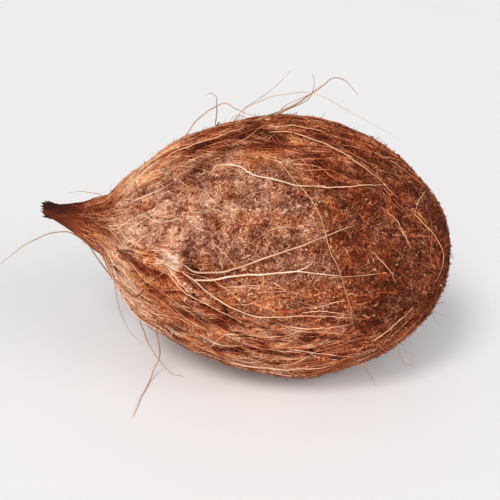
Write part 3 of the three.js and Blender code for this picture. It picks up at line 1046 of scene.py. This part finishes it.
class Nodes:
    """A material's node tree, with a short call for each kind of node used here."""

    def __init__(self, name):
        self.material = bpy.data.materials.new(name)
        self.material.use_nodes = True
        self.tree = self.material.node_tree
        self.shader = self.tree.nodes["Principled BSDF"]

    def join(self, socket, value):
        if isinstance(value, bpy.types.NodeSocket):
            self.tree.links.new(value, socket)
        else:
            socket.default_value = value

    def set(self, name, value):
        self.join(self.shader.inputs[name], value)

    def attribute(self, name):
        made = self.tree.nodes.new("ShaderNodeAttribute")
        made.attribute_name = name
        return made.outputs["Vector"]

    def colour_map(self):
        made = self.tree.nodes.new("ShaderNodeUVMap")
        made.uv_map = COLOUR_MAP
        return made.outputs["UV"]

    def parts(self, vector):
        made = self.tree.nodes.new("ShaderNodeSeparateXYZ")
        self.join(made.inputs[0], vector)
        return made.outputs

    def scaled(self, vector, scale):
        made = self.tree.nodes.new("ShaderNodeVectorMath")
        made.operation = "MULTIPLY"
        self.join(made.inputs[0], vector)
        made.inputs[1].default_value = scale
        return made.outputs[0]

    def noise(self, vector, scale, detail=3.0, rough=0.6):
        made = self.tree.nodes.new("ShaderNodeTexNoise")
        self.join(made.inputs["Vector"], vector)
        made.inputs["Scale"].default_value = scale
        made.inputs["Detail"].default_value = detail
        made.inputs["Roughness"].default_value = rough
        return made.outputs[0]

    def math(self, kind, first, second=0.0, third=0.0):
        made = self.tree.nodes.new("ShaderNodeMath")
        made.operation = kind
        for socket, value in zip(made.inputs, (first, second, third)):
            self.join(socket, value)
        return made.outputs[0]

    def centred(self, value):
        return self.math("SUBTRACT", value, 0.5)

    def between(self, value, low, high, to_low=0.0, to_high=1.0):
        made = self.tree.nodes.new("ShaderNodeMapRange")
        for socket, number in zip(made.inputs, (value, low, high, to_low, to_high)):
            self.join(socket, number)
        return made.outputs[0]

    def mix(self, share, first, second):
        made = self.tree.nodes.new("ShaderNodeMix")
        made.data_type = "RGBA"
        for index, value in ((0, share), (6, first), (7, second)):
            self.join(made.inputs[index], value)
        return made.outputs[2]

    def ramp(self, value, positions, colours):
        made = self.tree.nodes.new("ShaderNodeValToRGB")
        self.join(made.inputs[0], value)
        elements = made.color_ramp.elements
        while len(elements) < len(positions):
            elements.new(0.5)
        for element, position, colour in zip(elements, positions, colours):
            element.position = position
            element.color = srgb(*colour)
        return made.outputs[0]

    def bump(self, height, strength, distance):
        made = self.tree.nodes.new("ShaderNodeBump")
        made.inputs["Strength"].default_value = strength
        made.inputs["Distance"].default_value = distance
        self.join(made.inputs["Height"], height)
        return made.outputs[0]


# The colours of coir at these lightnesses, as screen colours, for the four hues that it runs through.
LIGHTNESSES = (0.0, 0.2, 0.38, 0.55, 0.75, 0.9, 1.0)
RUST = (
    (50, 16, 4), (96, 33, 9), (142, 60, 28), (190, 98, 53),
    (230, 158, 106), (248, 198, 150), (252, 222, 182),
)
BROWN = (
    (48, 17, 5), (92, 34, 12), (128, 65, 38), (178, 107, 70),
    (220, 162, 124), (242, 195, 160), (252, 218, 190),
)
GREY = (
    (48, 25, 20), (88, 43, 29), (124, 76, 62), (172, 117, 97),
    (216, 168, 143), (240, 201, 177), (248, 224, 206),
)
STRAW = (
    (56, 34, 18), (94, 60, 34), (132, 92, 56), (168, 126, 82),
    (212, 170, 120), (236, 200, 152), (248, 222, 182),
)


def coir_colour(nodes, light, grey):
    """Colour of coir from its lightness and greyness sockets."""
    hues = [nodes.ramp(light, LIGHTNESSES, colours) for colours in (RUST, BROWN, GREY, STRAW)]
    warm = nodes.mix(nodes.between(grey, 0.0, BROWN_AT), hues[0], hues[1])
    faded = nodes.mix(nodes.between(grey, BROWN_AT, 1.0), warm, hues[2])
    return nodes.mix(nodes.between(grey, 1.0, STRAW_AT), faded, hues[3])


def fibre_material():
    """Single coir fibres. Everything that varies is laid out on their colour map."""
    nodes = Nodes("coir_fibre")
    light, hue, _ = nodes.parts(nodes.colour_map())
    grey = nodes.math("MULTIPLY", hue, STRAW_AT)
    nodes.set("Base Color", coir_colour(nodes, light, grey))
    nodes.set("Roughness", nodes.between(light, 0.1, 0.9, 0.75, 0.55))
    nodes.set("Specular IOR Level", 0.18)
    return nodes.material


def husk_material():
    """The felt under the fibres: streaked along the lay where it is combed, crumbly and pitted where
    it is fuzzy, with painted shade in its pits and painted shade darkening its cracks, gaps and
    hollows."""
    nodes = Nodes("coir_felt")
    light, grey, painted_shade = nodes.parts(nodes.attribute("tone"))
    combed, fuzz, _ = nodes.parts(nodes.attribute("weave"))
    lay = nodes.attribute("lay")
    metres = nodes.tree.nodes.new("ShaderNodeTexCoord").outputs["Object"]
    place = nodes.scaled(metres, (1 / METRE, 1 / METRE, 1 / METRE))
    streaks = nodes.centred(nodes.noise(nodes.scaled(lay, (1, 1, 0.09)), 1.2, 3.0, 0.65))
    felt = nodes.centred(nodes.noise(place, 0.8, 2.0, 0.7))
    grain = nodes.centred(nodes.noise(place, 2.2, 2.0, 0.6))
    shaded_pits = nodes.between(nodes.noise(place, 0.9, 2.0, 0.6), 0.44, 0.30)
    shaded_pits = nodes.math("MULTIPLY", shaded_pits, nodes.between(fuzz, 0.0, 1.0, 0.25, 1.0))
    loose = nodes.between(combed, 0.0, 1.0, 1.0, 0.35)
    lit = nodes.math("MULTIPLY_ADD", nodes.math("MULTIPLY", streaks, combed), 0.9, light)
    lit = nodes.math("MULTIPLY_ADD", nodes.math("MULTIPLY", felt, loose), 1.1, lit)
    lit = nodes.math("MULTIPLY_ADD", grain, 0.6, lit)
    # Painted shade: the pits are darker in colour as well as sunk in the bump.
    lit = nodes.math("MULTIPLY_ADD", shaded_pits, -0.35, lit)
    # Painted shade of the cracks, gaps and hollows, from the husk's tone.
    lit = nodes.math("MULTIPLY_ADD", painted_shade, -0.42, lit)
    nodes.set("Base Color", coir_colour(nodes, lit, nodes.math("MULTIPLY_ADD", felt, 0.8, grey)))
    nodes.set("Roughness", nodes.between(felt, -0.2, 0.2, 0.95, 0.75))
    nodes.set("Specular IOR Level", 0.15)
    height = nodes.math("MULTIPLY", nodes.math("MULTIPLY", streaks, combed), 0.8)
    height = nodes.math("MULTIPLY_ADD", nodes.math("MULTIPLY", felt, loose), 1.0, height)
    height = nodes.math("MULTIPLY_ADD", grain, 0.3, height)
    height = nodes.math("MULTIPLY_ADD", shaded_pits, -0.4, height)
    nodes.set("Normal", nodes.bump(height, 1.0, 0.0012))
    return nodes.material


# ---------------------------------------------------------------- floor, light and camera


def floor_piece():
    """A wide pale table top, faintly mottled."""
    nodes = Nodes("pale_floor")
    where = nodes.tree.nodes.new("ShaderNodeNewGeometry").outputs["Position"]
    faint = nodes.noise(where, 3.0, 2.0)
    pale = nodes.mix(nodes.between(faint, 0.3, 0.7), srgb(243, 242, 243), srgb(245, 244, 245))
    nodes.set("Base Color", pale)
    nodes.set("Roughness", nodes.between(faint, 0.3, 0.7, 0.40, 0.44))
    nodes.set("Specular IOR Level", 0.2)
    half = 4000
    corners = np.array([(-half, -half, 0), (half, -half, 0), (half, half, 0), (-half, half, 0)], float)
    floor = make_mesh("floor", corners, [np.array([[0, 1, 2, 3]])], nodes.material, smooth=False)


def sun_light(name, toward, softness, strength, colour):
    """A broad soft light. Toward points from the object to the light, and softness is in degrees."""
    lamp = bpy.data.lights.new(name, "SUN")
    lamp.angle = math.radians(softness)
    lamp.energy = strength
    lamp.color = colour
    holder = bpy.data.objects.new(name, lamp)
    holder.rotation_euler = (-Vector(toward)).to_track_quat("-Z", "Y").to_euler()
    bpy.context.scene.collection.objects.link(holder)


# The sky's strength at the horizon, and from a height up that is given on a sky of radius 1.
HORIZON_STRENGTH = 0.6
UPPER_STRENGTH = 0.3
UPPER_FROM = 0.6


def studio():
    """Soft light all round, stronger low down, with a key light from the upper left in front, a broad
    one from lower in front and one from the right."""
    world = bpy.data.worlds.new("studio")
    world.use_nodes = True
    background = world.node_tree.nodes["Background"]
    background.inputs["Color"].default_value = (1.0, 1.0, 1.0, 1.0)
    nodes = world.node_tree.nodes
    way = nodes.new("ShaderNodeSeparateXYZ")
    toward = nodes.new("ShaderNodeTexCoord").outputs["Generated"]
    world.node_tree.links.new(way.inputs[0], toward)
    sky = nodes.new("ShaderNodeMapRange")
    sky.inputs["From Min"].default_value = 0.0
    sky.inputs["From Max"].default_value = UPPER_FROM
    sky.inputs["To Min"].default_value = HORIZON_STRENGTH
    sky.inputs["To Max"].default_value = UPPER_STRENGTH
    world.node_tree.links.new(sky.inputs["Value"], way.outputs[2])
    world.node_tree.links.new(background.inputs["Strength"], sky.outputs[0])
    bpy.context.scene.world = world
    sun_light("key", (-0.26, -0.56, 0.79), 20, 1.4, (1.0, 0.985, 0.96))
    sun_light("front", (0.0, -0.88, 0.47), 44, 1.3, (1.0, 1.0, 1.0))
    sun_light("side", (0.82, -0.40, 0.41), 40, 1.0, (0.99, 0.995, 1.0))


def camera():
    """Looks at the nut from the photo's side, height and distance."""
    azimuth, elevation = math.radians(5), math.radians(25)
    distance = 489
    target = Vector((3, 0, 48))
    level = Vector((math.sin(azimuth), -math.cos(azimuth), 0)) * math.cos(elevation)
    back = level + Vector((0, 0, math.sin(elevation)))
    lens = bpy.data.cameras.new("camera")
    lens.lens = 85
    lens.sensor_width = 36
    lens.clip_start = 0.01
    lens.clip_end = 50
    holder = bpy.data.objects.new("camera", lens)
    holder.location = (target + back * distance) * METRE
    holder.rotation_euler = (-back).to_track_quat("-Z", "Y").to_euler()
    bpy.context.scene.collection.objects.link(holder)
    bpy.context.scene.camera = holder


def build():
    skin = dress(Skin())
    fibre = fibre_material()
    husk = finish_piece(husk_piece(skin, husk_material()))
    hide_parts(CAD_NODE)
    undercoat(skin, fibre)
    crumbs(skin, fibre)
    ribbons(skin, fibre)
    curls(skin, fibre)
    combed_strands(skin, fibre)
    bristles(skin, fibre)
    flyaway_hairs(skin, fibre)
    stray_hairs(skin, fibre)
    hand_laid(skin, fibre)
    tuft_fibres(skin, fibre)
    tuft_collar(skin, fibre)
    tuft_end(skin, fibre)


bpy.context.scene.view_settings.view_transform = "Standard"
floor_piece()
studio()
camera()
build()
